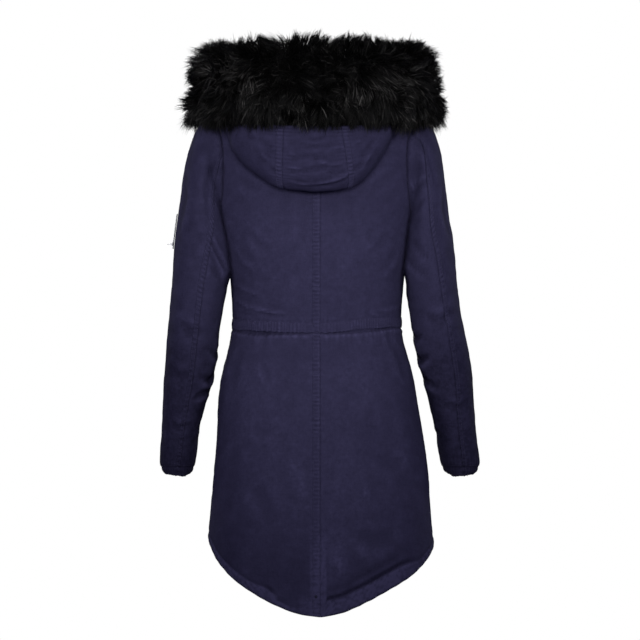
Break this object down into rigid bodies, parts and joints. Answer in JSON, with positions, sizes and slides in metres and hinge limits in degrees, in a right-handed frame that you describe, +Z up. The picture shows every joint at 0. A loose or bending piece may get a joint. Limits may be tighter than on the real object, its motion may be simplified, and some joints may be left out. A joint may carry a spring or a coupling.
{
  "type": "hooded parka",
  "caption": "Woman's waisted parka with a fur-trimmed hood worn down, a drawstring casing at the waist, a front zip and a tail hem longer at the back.",
  "frame": {"origin": "middle of the neck, level with the highest points of the shoulder seams", "axes": "+Z up, -Y the way the wearer faces, +X the wearer's left"},
  "size_m": [0.577, 0.3494, 1.037],
  "materials": {
    "cloth": "washed navy cotton twill",
    "zip_tape": "dark navy woven tape with a coil",
    "metal": "gunmetal, satin",
    "fur": "long black faux fur"
  },
  "bodies": {
    "parka": {"back_left": "cloth", "back_right": "cloth", "front_left": "cloth", "front_right": "cloth", "waist_casing": "cloth", "front_zip": "zip_tape", "front_zip_slider": "metal", "sleeve_left_outer": "cloth", "sleeve_left_under": "cloth", "sleeve_right_outer": "cloth", "sleeve_right_under": "cloth", "sleeve_zip": "metal", "sleeve_zip_slider": "metal", "hood_left": "cloth", "hood_centre": "cloth", "hood_right": "cloth", "fur_trim": "fur"},
    "front_pull": {"front_zip_pull": "metal"},
    "sleeve_pull": {"sleeve_zip_pull": "metal"}
  },
  "joints": [
    {"name": "front_pull_swing", "type": "hinge", "parent": "parka", "child": "front_pull", "pos_m": [0, -0.11139, -0.13687], "axis": [-1, 0, 0], "range_deg": [0, 150]},
    {"name": "sleeve_pull_swing", "type": "hinge", "parent": "parka", "child": "sleeve_pull", "pos_m": [0.26854, 0.00696, -0.28178], "axis": [0, 1, 0], "range_deg": [-70, 80]}
  ]
}
